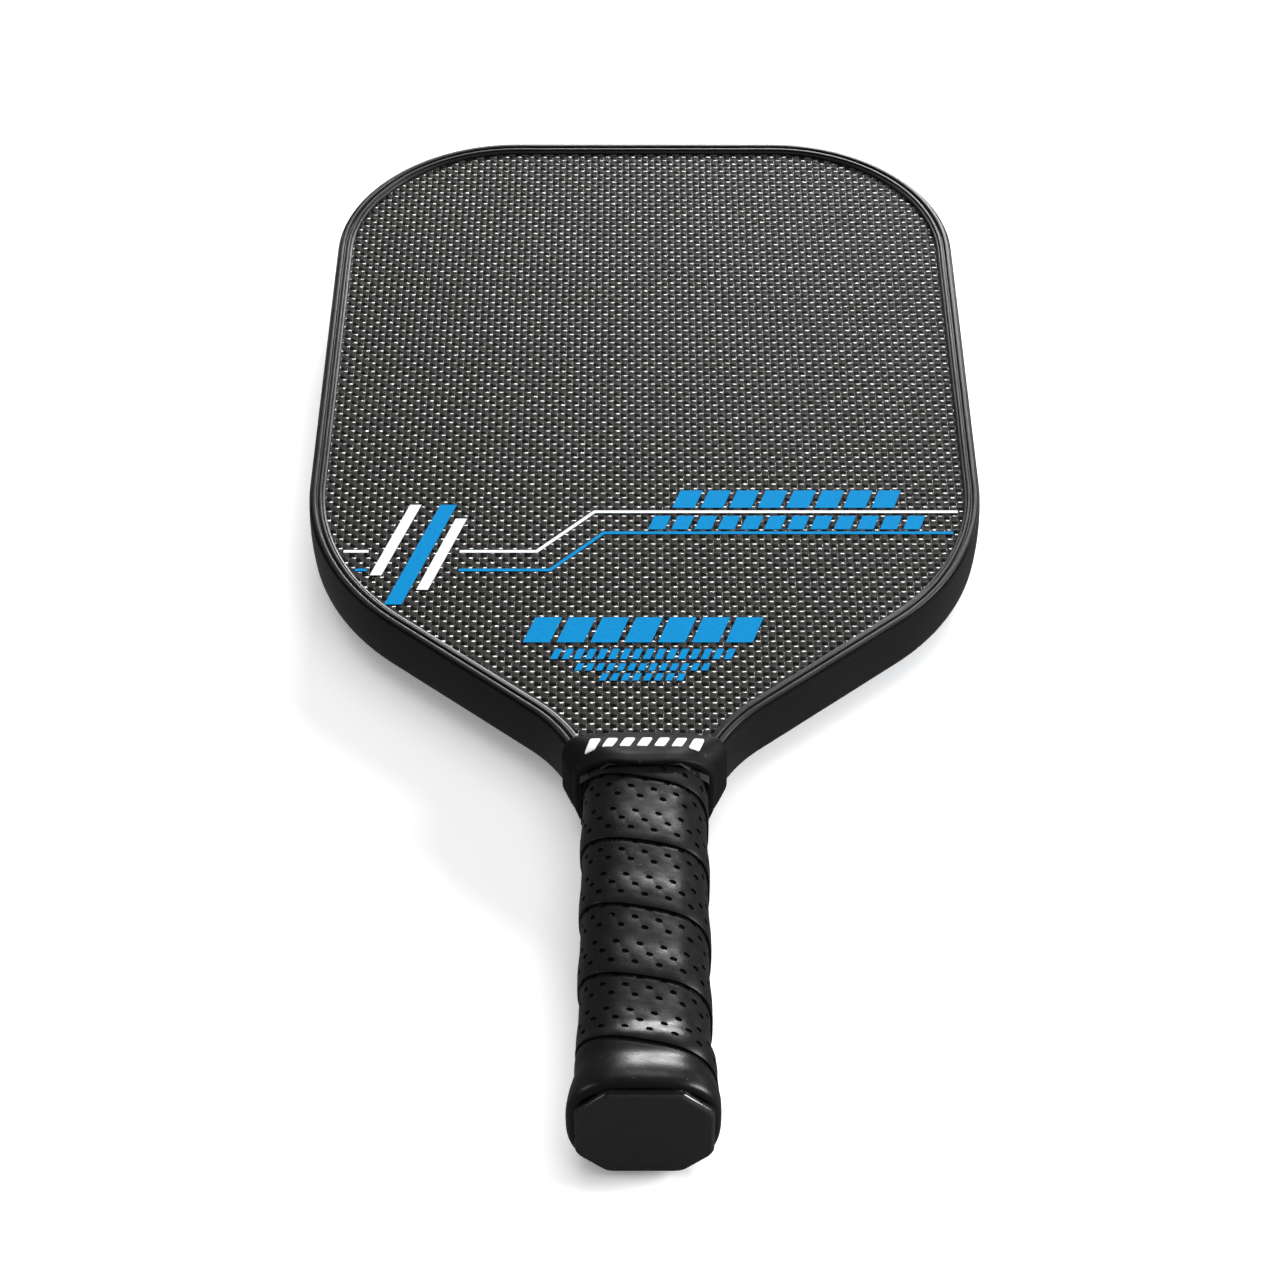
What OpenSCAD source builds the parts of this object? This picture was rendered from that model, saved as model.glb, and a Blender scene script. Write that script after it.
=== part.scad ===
// Pickleball paddle: a honeycomb sandwich blade in a moulded edge guard, two handle
// pallets bonded to its tongue, a butt cap, a wrapped grip and a rubber throat collar.
// The origin is the centre of the butt cap's end face. +X runs across the blade,
// +Y from the butt to the tip, and +Z out of the front face.

/* [Blade outline] */
// Overall length, from the butt face to the tip
paddle_l = 400; // [330:1:480]
// Overall width over the edge guard
paddle_w = 203.2; // [165:0.1:245]
// Radius of the two corners at the tip
tip_r = 58; // [30:0.5:75]
// Radius of the two lower corners, where the sides turn in to the handle
shoulder_r = 76; // [40:0.5:80]
// Slope of the straight shoulders, in degrees from the long axis
shoulder_a = 50.6; // [40:0.1:60]
// Radius of the hollow curve where a shoulder meets the handle
throat_r = 42; // [25:0.5:60]
// How far below the end of the grip that curve starts
throat_drop = 10.2; // [4:0.1:20]

/* [Blade layers] */
// Thickness of the honeycomb core
core_t = 14; // [10:0.1:14.5]
// Thickness of each adhesive film between the core and a face
film_t = 0.15; // [0.1:0.01:0.3]
// Thickness of each woven fibre face sheet
sheet_t = 0.45; // [0.3:0.01:0.6]
// Width of a honeycomb cell across its flats
cell_w = 8; // [6:0.5:14]
// Wall between two honeycomb cells
cell_wall = 0.6; // [0.4:0.1:1.5]
// Solid border left round the cells
core_border = 2.5; // [1.5:0.5:8]

/* [Edge guard] */
// Thickness of the guard's outer wall
guard_wall = 1.7; // [1.2:0.1:3]
// Width of the lip over each face, from the outside of the guard
guard_lip = 5.2; // [4.6:0.1:9]
// Height of the outer rib above the face sheet
rib_h = 1.4; // [1:0.05:2.5]
// Thickness of the tape that bonds the guard to the blade's edge
edge_tape_t = 0.2; // [0.1:0.05:0.5]
// Gap between the end of the grip and the guard's two ends
guard_end_gap = 0.8; // [0.6:0.1:3]
// Gap between the guard's lip and the upper end of a handle pallet
guard_side_gap = 0.3; // [0.1:0.1:1]

/* [Handle] */
// Width of the bare handle and of the blade's tongue
handle_w = 31; // [26:0.1:38]
// Depth of the bare handle, from front to back
handle_d = 29; // [25:0.1:36]
// How far the octagon's side flats reach past the blade's faces
side_flat = 0.2; // [0.1:0.1:2]
// Length of the ramp at the upper end of each pallet
ramp_l = 10.4; // [6:0.1:12]
// Height of the pallets above the face sheet at the end of that ramp
ramp_end_h = 1.8; // [1:0.1:3]

/* [Butt cap] */
// Thickness of the cap's end plate
cap_plate = 2.5; // [1.5:0.1:4]
// Length of the cap's skirt, from the butt face
cap_l = 20; // [14:0.5:30]
// How far the cap flares out beyond the bare handle
cap_flare = 2.3; // [1.5:0.1:4]
// Height above the butt face at which the flare is widest
cap_wide_y = 9; // [8.5:0.5:12]
// Thickness of the skirt at its upper end
skirt_t = 0.6; // [0.4:0.1:1.2]
// Rounding of the end plate's edge
cap_edge = 0.7; // [0.3:0.1:1.2]
// Gap between the cap and the handle inside it
cap_gap = 0.05; // [0.02:0.01:0.2]
// Width of each staple that holds the cap
staple_w = 9; // [6:0.5:12]
// Thickness of the staple wire
staple_t = 0.7; // [0.5:0.1:1]
// Depth that the staple legs reach into the handle
staple_leg = 4; // [3:0.5:5]
// Depth of the staple's crown below the outside of the skirt
staple_sink = 0.3; // [0.1:0.1:0.8]

/* [Grip] */
// Thickness of the adhesive on the back of the grip strip
adhesive_t = 0.15; // [0.1:0.01:0.3]
// Thickness of the grip strip's felt backing
felt_t = 0.45; // [0.3:0.05:0.8]
// Thickness of the grip strip's outer cushion
cushion_t = 1.4; // [0.8:0.1:2.5]
// Height above the butt face at which the grip starts
grip_start_y = 2.2; // [1.5:0.1:4]
// Height above the butt face at which the grip ends
grip_end_y = 113.2; // [90:0.1:145]

/* [Throat collar] */
// Length of the collar
collar_l = 17.5; // [14:0.5:20]
// How far the collar reaches down over the end of the grip
collar_lap = 5.2; // [2:0.1:6]
// Thickness of the rubber at the lower rim
collar_t = 1.3; // [0.8:0.1:3]
// Thickness of the rubber over the ends of the edge guard
collar_top_t = 1; // [0.6:0.1:2]
// Thickness of the tape that finishes the upper end of the grip
finish_tape_t = 0.2; // [0.1:0.05:0.3]
// Gap between the collar and what it covers
collar_gap = 0.1; // [0.05:0.05:0.3]
// Number of raised bars on the front of the collar
collar_bars = 7; // [3:1:9]
// Height of those bars above the rubber
collar_bar_h = 0.4; // [0.2:0.1:0.8]

/* [Printed pattern] */
// Thickness of the printed ink
ink_t = 0.08; // [0.05:0.01:0.15]
// Width of the two long stripes
stripe_w = 1.1; // [0.6:0.1:2.5]
// How far the white stripe's lower run lies below the start of the straight sides
white_drop = 27.7; // [10:0.1:35]
// Distance between the lower runs of the two stripes
stripe_gap = 7.8; // [6.5:0.1:12]
// How far the white stripe steps up to its higher run
white_step = 17; // [8:0.1:25]
// How far the blue stripe steps up to its higher run
blue_step = 15.7; // [8:0.1:25]
// Centre of the slanted middle piece of the white stripe
white_mid_x = -23.5; // [-40:0.5:20]
// How far the blue stripe's slanted piece lies to the right of the white one's
blue_shift = 3.5; // [0:0.5:10]
// Clear space between a stripe's end and the edge guard
stripe_margin = 1.6; // [0.5:0.1:5]
// Distance from the edge guard to the centre of the badge of slanted bars
badge_in = 25; // [18:0.1:40]
// Height of the lowest row of bars above the collar
bars_up = 22.5; // [18:0.5:28]

/* [Hidden] */

arc_step = 4;                     // largest turn between two points of an arc, in degrees
far = 400;                        // longer than the paddle's cross-section in any direction
core_half = core_t / 2;
face_z = core_half + film_t + sheet_t;          // outside of a face sheet
blade_inset = guard_wall + edge_tape_t;         // from the guard's outside to the blade's edge
throat_half = handle_w / 2 + blade_inset;       // half width over the guard at the throat
handle_corner = handle_d / 2 - face_z - side_flat;  // slanted corners of the handle's octagon
grip_t = adhesive_t + felt_t + cushion_t;

// Heights above the butt face round the throat, all set by the end of the grip
throat_y = grip_end_y - throat_drop;
guard_end_y = grip_end_y + guard_end_gap;
ramp_start_y = grip_end_y + guard_end_gap / 2;
ramp_end_y = ramp_start_y + ramp_l;
collar_start_y = grip_end_y - collar_lap;
collar_end_y = collar_start_y + collar_l;
staple_rise = 0.6;                // how far the staples lie above the middle of the cap's wide part
staple_y = (cap_plate + cap_wide_y) / 2 + staple_rise;
staple_gap = 0.02;                // clearance all round a staple
tape_tuck = 0.4;                  // how far the finishing tape starts inside the collar's rim
slant = 0.34;                     // sideways lean of the bars for each mm of height
collar_bar_w = 2.2;
collar_bar_l = 5;
collar_bar_span = handle_w - 5;   // from the first raised bar to the last
badge_left = 16;                  // from the badge's centre to the stripes on its left
badge_right = 11;                 // from the badge's centre to the stripes on its right
badge_h = 42;                     // height of the badge's middle bar
badge_w = 5;                      // width of the badge's middle bar
badge_drop = 22;                  // from the lower white run to the foot of the middle bar
badge_foot = -10;                 // from the badge's centre to the foot of the middle bar
outer_bar_h = 30;                 // height of the badge's two outer bars
outer_bar_w = 3.4;                // width of the badge's two outer bars
outer_bar_x = [-15, -1];          // their feet, across from the badge's centre
outer_bar_y = [-10, -16];         // their feet, up from the lower white run

// Centres of the outline's arcs on the +X side
tip_c = [paddle_w / 2 - tip_r, paddle_l - tip_r];
throat_c = [throat_half + throat_r, throat_y];
shoulder_x = paddle_w / 2 - shoulder_r;
shoulder_run = shoulder_x + shoulder_r * cos(shoulder_a) - throat_c[0]
             + throat_r * cos(shoulder_a);
shoulder_c = [shoulder_x, throat_y + throat_r * sin(shoulder_a)
              + shoulder_run / tan(shoulder_a) + shoulder_r * sin(shoulder_a)];

// Points on an arc from angle a0 to angle a1
function arc(c, r, a0, a1) =
    let (n = max(2, ceil(abs(a1 - a0) / arc_step)))
    [for (i = [0:n]) let (a = a0 + (a1 - a0) * i / n) c + r * [cos(a), sin(a)]];

// The +X side of the outline moved in by d, from the tip down to the height y_end
function side(d, y_end) = concat(
    arc(tip_c, tip_r - d, 90, 0),
    arc(shoulder_c, shoulder_r - d, 0, -shoulder_a),
    arc(throat_c, throat_r + d, 180 - shoulder_a,
        180 - asin((y_end - throat_y) / (throat_r + d))));

function reversed(p) = [for (i = [len(p) - 1:-1:0]) p[i]];
function mirrored(p) = [for (q = p) [-q[0], q[1]]];

// The whole outline moved in by d, from the lower end on +X over the tip to the one on -X
function rim(d, y_end) = concat(reversed(side(d, y_end)), mirrored(side(d, y_end)));

// Half width of the outline moved in by d, at the height y
function half_width(y, d) =
    let (low = throat_c + (throat_r + d) * [-cos(shoulder_a), sin(shoulder_a)])
    y > paddle_l - d ? 0 :
    y > tip_c[1] ? tip_c[0] + sqrt(pow(tip_r - d, 2) - pow(y - tip_c[1], 2)) :
    y > shoulder_c[1] ? paddle_w / 2 - d :
    y > shoulder_c[1] - (shoulder_r - d) * sin(shoulder_a)
        ? shoulder_x + sqrt(pow(shoulder_r - d, 2) - pow(y - shoulder_c[1], 2)) :
    y > low[1] ? low[0] + (y - low[1]) * tan(shoulder_a) :
    y > throat_y ? throat_c[0] - sqrt(pow(throat_r + d, 2) - pow(y - throat_y, 2)) :
    throat_half - d;

// Places of the printed pattern
white_low_y = shoulder_c[1] - white_drop;
blue_low_y = white_low_y - stripe_gap;
badge_x = badge_in - half_width(white_low_y, guard_lip);
bars_y = collar_end_y + bars_up;

// The blade's own outline: the head, and the straight tongue inside the handle
module blade_outline() {
    low = cap_plate + cap_gap;
    half = handle_w / 2;
    polygon(concat(rim(blade_inset, guard_end_y),
                   [[-half, guard_end_y], [-half, low], [half, low], [half, guard_end_y]]));
}

// Half width of the blade at the height y
function blade_half(y) = y < guard_end_y ? handle_w / 2 : half_width(y, blade_inset);

// A flat layer of the blade
module blade_layer(z, t) {
    translate([0, 0, z]) linear_extrude(t) blade_outline();
}

// A band that follows the outline between the insets a and b
module band(a, b, z, t, y_end = guard_end_y) {
    translate([0, 0, z]) linear_extrude(t) polygon(concat(rim(a, y_end), reversed(rim(b, y_end))));
}

// A solid whose section across Y is an octagon.
// Each row of s is [height along Y, half width, half depth, half size across the corners].
module octagon_solid(s) {
    intersection_for (face = [[0, 1], [90, 2], [45, 3], [-45, 3]])
        rotate([0, face[0], 0]) translate([0, 0, -far / 2]) linear_extrude(far)
            polygon(concat([for (p = s) [p[face[1]], p[0]]],
                           reversed([for (p = s) [-p[face[1]], p[0]]])));
}

// One row of such a solid: the bare handle's octagon grown by t, at the height y
bare_corner = (handle_w / 2 + handle_d / 2 - handle_corner) / sqrt(2);
function handle_row(y, t) = [y, handle_w / 2 + t, handle_d / 2 + t, bare_corner + t];

// What the grip lies on, grown by t: the cap's flare, then the bare handle
function grip_rows(y0, y1, t) = [
    handle_row(y0, cap_flare + t), handle_row(cap_wide_y, cap_flare + t),
    handle_row(cap_l, skirt_t + t), handle_row(cap_l + 0.2, t), handle_row(y1, t)];

// One layer of the grip strip, between the depths t0 and t1
module grip_layer(t0, t1) {
    difference() {
        octagon_solid(grip_rows(grip_start_y, grip_end_y, t1));
        octagon_solid(grip_rows(grip_start_y - 1, grip_end_y + 1, t0));
    }
}

module honeycomb_core() {
    pitch = cell_w + cell_wall;
    row_gap = pitch * sqrt(3) / 2;
    reach = core_border + cell_w / sqrt(3);
    rows = floor((paddle_l - cap_plate) / row_gap);
    color("Linen") translate([0, 0, -core_half]) linear_extrude(core_t) difference() {
        blade_outline();
        for (j = [1:rows], i = [-ceil(paddle_w / pitch / 2):ceil(paddle_w / pitch / 2)]) {
            x = (i + (j % 2) / 2) * pitch;
            y = cap_plate + j * row_gap;
            room = min(blade_half(y - cell_w / 2), blade_half(y), blade_half(y + cell_w / 2));
            if (abs(x) + reach < room && y > cap_plate + reach && y < paddle_l - blade_inset - reach)
                translate([x, y]) rotate(30) circle(d = cell_w / cos(30), $fn = 6);
        }
    }
}

module front_bond_film() {
    color("Khaki") blade_layer(core_half, film_t);
}

module back_bond_film() {
    color("Khaki") mirror([0, 0, 1]) blade_layer(core_half, film_t);
}

module front_face_sheet() {
    color("DimGray") blade_layer(core_half + film_t, sheet_t);
}

module back_face_sheet() {
    color("DimGray") mirror([0, 0, 1]) blade_layer(core_half + film_t, sheet_t);
}

module edge_tape() {
    color("Gray") band(guard_wall, blade_inset, -face_z, 2 * face_z);
}

// The guard's moulded section: outer wall, outer rib, groove, inner rib and thin lip
module edge_guard() {
    outer_edge = guard_lip * 0.46;          // inner side of the outer rib
    inner_edge = guard_lip * 0.54;          // outer side of the inner rib
    rib_out = guard_lip * 0.8;              // inner side of the inner rib
    lip_h = rib_h * 0.35;
    floor_h = rib_h * 0.6;
    inner_h = rib_h * 0.8;
    color([0.13, 0.13, 0.13]) {
        band(0, guard_wall, -face_z - lip_h, 2 * (face_z + lip_h));
        for (m = [0, 1]) mirror([0, 0, m]) {
            band(0, guard_lip, face_z, lip_h);
            band(0, rib_out, face_z, floor_h);
            band(0, outer_edge, face_z, inner_h);
            band(inner_edge, rib_out, face_z, inner_h);
            band(rib_h * 0.3, outer_edge, face_z, rib_h);
        }
    }
}

// A pallet's solid block: full octagon in the grip, ramped and narrower under the collar
module pallet_block(t) {
    ramp_end = face_z + ramp_end_h;
    intersection() {
        octagon_solid([handle_row(cap_plate + cap_gap, t), handle_row(ramp_start_y, t),
                       [ramp_end_y, handle_w / 2 + t, ramp_end + t, bare_corner + t]]);
        union() {
            translate([-far / 2, 0, face_z]) cube([far, guard_end_y - guard_side_gap, far]);
            translate([0, 0, face_z]) linear_extrude(far)
                polygon(rim(guard_lip + guard_side_gap - t, guard_end_y - 1));
        }
    }
}

// The front and the back staple: a crown across X and two legs into the handle.
// grow widens it all round and open_out runs the crown outwards, to cut its slot.
module staples(grow, open_out) {
    crown_z = handle_d / 2 + cap_flare - staple_sink - staple_t;
    leg_z = handle_d / 2 - staple_leg;
    for (m = [0, 1]) mirror([0, 0, m]) {
        translate([-staple_w / 2 - grow, staple_y - staple_t / 2 - grow, crown_z - grow])
            cube([staple_w + 2 * grow, staple_t + 2 * grow, staple_t + grow + open_out]);
        for (x = [-staple_w / 2, staple_w / 2 - staple_t])
            translate([x - grow, staple_y - staple_t / 2 - grow, leg_z - grow])
                cube([staple_t + 2 * grow, staple_t + 2 * grow, crown_z - leg_z + 2 * grow]);
    }
}

module handle_pallet() {
    color("Wheat") difference() {
        pallet_block(0);
        staples(staple_gap, 0);
    }
}

module front_handle_pallet() {
    handle_pallet();
}

module back_handle_pallet() {
    mirror([0, 0, 1]) handle_pallet();
}

module butt_cap() {
    color([0.09, 0.09, 0.09]) difference() {
        octagon_solid([handle_row(0, cap_flare - cap_edge), handle_row(cap_edge, cap_flare),
                       handle_row(cap_wide_y, cap_flare), handle_row(cap_l, skirt_t)]);
        octagon_solid([handle_row(cap_plate, cap_gap), handle_row(cap_l + 1, cap_gap)]);
        staples(staple_gap, cap_flare);
    }
}

module butt_cap_staples() {
    color("Silver") staples(0, 0);
}

module grip_adhesive() {
    color("Ivory") grip_layer(0, adhesive_t);
}

module grip_felt() {
    color("LightGray") grip_layer(adhesive_t, adhesive_t + felt_t);
}

module grip_wrap() {
    color([0.1, 0.1, 0.1]) grip_layer(adhesive_t + felt_t, grip_t);
}

module finishing_tape() {
    start_y = collar_start_y + tape_tuck;
    color([0.2, 0.2, 0.2]) difference() {
        octagon_solid([handle_row(start_y, grip_t + finish_tape_t),
                       handle_row(grip_end_y, grip_t + finish_tape_t)]);
        octagon_solid([handle_row(start_y - 1, grip_t), handle_row(grip_end_y + 1, grip_t)]);
    }
}

// The collar's outside: close round the grip at its rim, close over the guard at its top
collar_top_half = half_width(collar_end_y, 0) + collar_gap + collar_top_t;
collar_rise = 1.1;                // extra rubber over the middle of the blade, at the collar's top
collar_top_z = face_z + rib_h + collar_gap + collar_top_t + collar_rise;
collar_rows = [
    handle_row(collar_start_y, grip_t + finish_tape_t + collar_gap + collar_t),
    handle_row(grip_end_y, grip_t + finish_tape_t + collar_gap + collar_t),
    [collar_end_y, collar_top_half, collar_top_z,
     (half_width(collar_end_y, 0) + face_z + rib_h) / sqrt(2) + collar_gap + collar_top_t]];

module throat_collar() {
    inner = grip_t + finish_tape_t + collar_gap;
    color([0.07, 0.07, 0.07]) difference() {
        octagon_solid(collar_rows);
        octagon_solid([handle_row(collar_start_y - 1, inner), handle_row(guard_end_y, inner)]);
        translate([0, 0, -face_z - rib_h - collar_gap])
            linear_extrude(2 * (face_z + rib_h + collar_gap))
                polygon(rim(-collar_gap, guard_end_y - 1));
        for (m = [0, 1]) mirror([0, 0, m]) pallet_block(collar_gap);
    }
}

// A slanted bar with its lower left corner at [x, y]
module bar(x, y, w, h) {
    polygon([[x, y], [x + w, y], [x + w + h * slant, y + h], [x + h * slant, y + h]]);
}

// Slanted raised bars along the front slope of the collar
module collar_marks() {
    low = collar_rows[1];
    high = collar_rows[2];
    fall = atan((low[2] - high[2]) / (high[0] - low[0]));
    step = collar_bar_span / (collar_bars - 1);
    lean = collar_bar_l * slant / 2;
    color("White") translate([0, (low[0] + high[0]) / 2, (low[2] + high[2]) / 2])
        rotate([-fall, 0, 0]) linear_extrude(collar_bar_h) for (i = [0:collar_bars - 1])
            bar((i * step - collar_bar_span / 2) - collar_bar_w / 2 - lean,
                -collar_bar_l / 2, collar_bar_w, collar_bar_l);
}

// A row of n equal slanted bars from x0 to x1
module bar_row(x0, x1, y, h, n, fill) {
    pitch = (x1 - x0) / n;
    for (i = [0:n - 1]) bar(x0 + i * pitch, y, pitch * fill, h);
}

// A stripe: a short piece left of the badge, then a low run, a slanted step and a high run
module stripe(y, rise, mid_x) {
    h = stripe_w;
    left = -half_width(y, guard_lip) + stripe_margin;
    right = half_width(y + rise, guard_lip) - stripe_margin;
    low_end = mid_x - rise / 2;
    high_start = mid_x + rise / 2;
    translate([left, y - h / 2]) square([badge_x - badge_left - left, h]);
    polygon([[badge_x + badge_right, y - h / 2], [low_end + h * 0.2, y - h / 2],
             [high_start + h * 0.2, y + rise - h / 2], [right, y + rise - h / 2],
             [right, y + rise + h / 2], [high_start - h * 0.2, y + rise + h / 2],
             [low_end - h * 0.2, y + h / 2], [badge_x + badge_right, y + h / 2]]);
}

// White ink: the upper stripe and the outer bars of the badge
module white_print() {
    stripe(white_low_y, white_step, white_mid_x);
    for (i = [0, 1])
        bar(badge_x + outer_bar_x[i], white_low_y + outer_bar_y[i], outer_bar_w, outer_bar_h);
}

// Rows of bars between the high stripes:
// [left end, from the right edge of the face, height above the blue stripe, bar height, bars, fill]
high_rows = [[7.5, 9.5, 1.5, 5.8, 12, 0.72], [14.8, 16.8, 10.8, 7.6, 8, 0.78]];
// Rows of bars above the collar:
// [left end, right end, height above the lowest row, bar height, number of bars, fill]
low_rows = [[-35, 33, 15, 10, 7, 0.8], [-27, 26, 8.4, 4, 16, 0.62],
            [-20, 19, 3.9, 2.8, 13, 0.62], [-13, 12, 0, 2.8, 8, 0.62]];

// Blue ink: the lower stripe, the badge's middle bar and the rows of bars
module blue_print() {
    high_y = blue_low_y + blue_step;
    high_x = white_mid_x + white_step;
    right = half_width(high_y, guard_lip);
    stripe(blue_low_y, blue_step, white_mid_x + blue_shift);
    bar(badge_x + badge_foot, white_low_y - badge_drop, badge_w, badge_h);
    for (r = high_rows) bar_row(high_x + r[0], right - r[1], high_y + r[2], r[3], r[4], r[5]);
    for (r = low_rows) bar_row(r[0], r[1], bars_y + r[2], r[3], r[4], r[5]);
}

module ink() {
    translate([0, 0, face_z]) linear_extrude(ink_t) children();
}

module front_white_print() {
    color("White") ink() white_print();
}

module front_blue_print() {
    color("DeepSkyBlue") ink() blue_print();
}

module back_white_print() {
    color("White") rotate([0, 180, 0]) ink() white_print();
}

module back_blue_print() {
    color("DeepSkyBlue") rotate([0, 180, 0]) ink() blue_print();
}

honeycomb_core();
front_bond_film();
back_bond_film();
front_face_sheet();
back_face_sheet();
edge_tape();
edge_guard();
front_handle_pallet();
back_handle_pallet();
butt_cap();
butt_cap_staples();
grip_adhesive();
grip_felt();
grip_wrap();
finishing_tape();
throat_collar();
collar_marks();
front_white_print();
front_blue_print();
back_white_print();
back_blue_print();
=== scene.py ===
"""A pickleball paddle: woven face, moulded edge guard, rubber throat collar and wrapped handle.

Sizes are in millimetres, and MM turns them into metres. +X runs across the blade, +Y from the
butt to the tip, and +Z out of the front face.
"""
import math

import bpy
import numpy as np
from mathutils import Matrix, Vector


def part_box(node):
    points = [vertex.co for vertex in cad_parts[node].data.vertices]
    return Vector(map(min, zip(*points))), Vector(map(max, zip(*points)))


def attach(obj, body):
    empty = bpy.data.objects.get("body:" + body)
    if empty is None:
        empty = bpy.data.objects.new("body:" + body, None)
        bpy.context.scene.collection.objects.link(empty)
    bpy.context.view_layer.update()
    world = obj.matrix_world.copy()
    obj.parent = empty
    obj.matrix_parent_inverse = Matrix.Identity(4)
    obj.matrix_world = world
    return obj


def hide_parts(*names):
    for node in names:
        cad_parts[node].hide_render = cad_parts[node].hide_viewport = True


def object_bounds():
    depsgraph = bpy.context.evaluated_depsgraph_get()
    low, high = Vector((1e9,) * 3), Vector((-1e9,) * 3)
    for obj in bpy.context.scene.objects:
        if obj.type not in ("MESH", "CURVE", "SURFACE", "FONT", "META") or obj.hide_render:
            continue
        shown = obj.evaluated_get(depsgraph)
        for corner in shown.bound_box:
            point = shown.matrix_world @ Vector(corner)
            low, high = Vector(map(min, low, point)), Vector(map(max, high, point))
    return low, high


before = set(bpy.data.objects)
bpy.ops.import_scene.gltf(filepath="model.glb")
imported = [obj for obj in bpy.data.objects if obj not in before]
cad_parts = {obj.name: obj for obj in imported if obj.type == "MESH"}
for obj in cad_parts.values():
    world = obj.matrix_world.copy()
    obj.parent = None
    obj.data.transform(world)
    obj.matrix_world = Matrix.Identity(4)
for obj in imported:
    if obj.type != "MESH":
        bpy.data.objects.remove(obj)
cad_low, cad_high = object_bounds()

# ---- Camera ------------------------------------------------------------------------------
# It stands behind the butt, looks down along the handle, and sees the whole paddle with a
# long lens.
MM = 0.001
butt_to_lens = 401.8
lens_height = 598.4
look_down = math.radians(46.24)

camera_data = bpy.data.cameras.new("camera")
camera_data.lens = 80.08
camera_data.sensor_width = 36
camera_data.shift_x = -0.0036
camera = bpy.data.objects.new("camera", camera_data)
camera.location = (0, -butt_to_lens * MM, lens_height * MM)
camera.rotation_euler = (math.pi / 2 - look_down, 0, 0)
bpy.context.scene.collection.objects.link(camera)
bpy.context.scene.camera = camera

# ---- Edge guard --------------------------------------------------------------------------
# One black thermoplastic channel, moulded with two ribs on each lip, is stretched round the
# blade and held by tape. Its two ends meet the collar on either side of the handle.
guard_low, guard_high = [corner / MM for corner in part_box("edge_guard")]
blade_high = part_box("honeycomb_core")[1] / MM
handle_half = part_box("front_handle_pallet")[1].x / MM
face_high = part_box("front_face_sheet")[1].z / MM
tip_r = 58
shoulder_r = 76
shoulder_slope = math.radians(50.6)
throat_r = 42
throat_drop = 11
throat_y = guard_low.y - throat_drop
wall_bulge = 0.4
wall_top = 8.3
lip_width = 5.2
face_gap = 0.02
lip_floor = face_high + face_gap
wall_inside = 1.75
arc_step = math.radians(2)
longest_run = 5


def arc(centre, radius, start, stop):
    """Points on an arc and the directions that face away from its centre."""
    count = max(2, math.ceil(abs(stop - start) / arc_step))
    turn = np.linspace(start, stop, count + 1)
    away = np.stack([np.cos(turn), np.sin(turn)], 1)
    return np.array(centre) + radius * away, away


def rim_line():
    """The guard's outside, from its right end over the tip to its left end, and where it faces."""
    throat_c = (handle_half + guard_high.x - blade_high.x + throat_r, throat_y)
    tip_c = (guard_high.x - tip_r, guard_high.y - tip_r)
    shoulder_x = guard_high.x - shoulder_r
    run = shoulder_x - throat_c[0] + (shoulder_r + throat_r) * math.cos(shoulder_slope)
    shoulder_y = (throat_y + (throat_r + shoulder_r) * math.sin(shoulder_slope)
                  + run / math.tan(shoulder_slope))
    start = math.pi - math.asin((guard_low.y - throat_y) / throat_r)
    throat, throat_away = arc(throat_c, throat_r, start, math.pi - shoulder_slope)
    shoulder, shoulder_away = arc((shoulder_x, shoulder_y), shoulder_r, -shoulder_slope, 0)
    tip, tip_away = arc(tip_c, tip_r, 0, math.pi / 2)
    points = np.concatenate([throat, shoulder, tip])
    away = np.concatenate([-throat_away, shoulder_away, tip_away])
    points = np.concatenate([points, points[::-1] * (-1, 1)])
    away = np.concatenate([away, away[::-1] * (-1, 1)])
    lines, facings = [points[:1]], [away[:1]]
    for a, b, facing in zip(points[:-1], points[1:], away[1:]):
        steps = math.ceil(np.linalg.norm(b - a) / longest_run)
        share = np.arange(1, steps + 1)[:, None] / steps
        lines.append(a + (b - a) * share)
        facings.append(np.repeat(facing[None], steps, 0))
    return np.concatenate(lines), np.concatenate(facings)


def rounded(corners, steps=3):
    """Corners of the form (x, y, radius), each replaced by a short curve."""
    line = []
    for i, (x, y, radius) in enumerate(corners):
        corner = np.array((x, y))
        if radius == 0:
            line.append(corner)
            continue
        before = np.array(corners[i - 1][:2]) - corner
        after = np.array(corners[(i + 1) % len(corners)][:2]) - corner
        start = corner + before * min(0.5, radius / np.linalg.norm(before))
        stop = corner + after * min(0.5, radius / np.linalg.norm(after))
        for t in np.linspace(0, 1, steps + 1):
            line.append(start * (1 - t) ** 2 + 2 * corner * t * (1 - t) + stop * t**2)
    return np.array(line)


def mesh_piece(name, points, faces, edges=(), crease=40):
    """A mesh from points in millimetres, smooth except across creases sharper than that angle."""
    mesh = bpy.data.meshes.new(name)
    mesh.from_pydata((np.asarray(points, float) * MM).tolist(), list(edges), list(faces))
    mesh.update()
    piece = bpy.data.objects.new(name, mesh)
    bpy.context.scene.collection.objects.link(piece)
    if len(mesh.polygons):
        mesh.shade_smooth()
        mesh.set_sharp_from_angle(angle=math.radians(crease))
    return piece


def wire(tree, kind, settings=None, **inputs):
    """A node of that kind, with its settings and with each named input linked or set."""
    node = tree.nodes.new(kind)
    for setting, value in (settings or {}).items():
        setattr(node, setting, value)
    for title, value in inputs.items():
        title = title.replace("_", " ")
        socket = node.inputs[int(title[2:])] if title.startswith("at") else node.inputs[title]
        if isinstance(value, bpy.types.NodeSocket):
            tree.links.new(value, socket)
        else:
            socket.default_value = value
    return node


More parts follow.
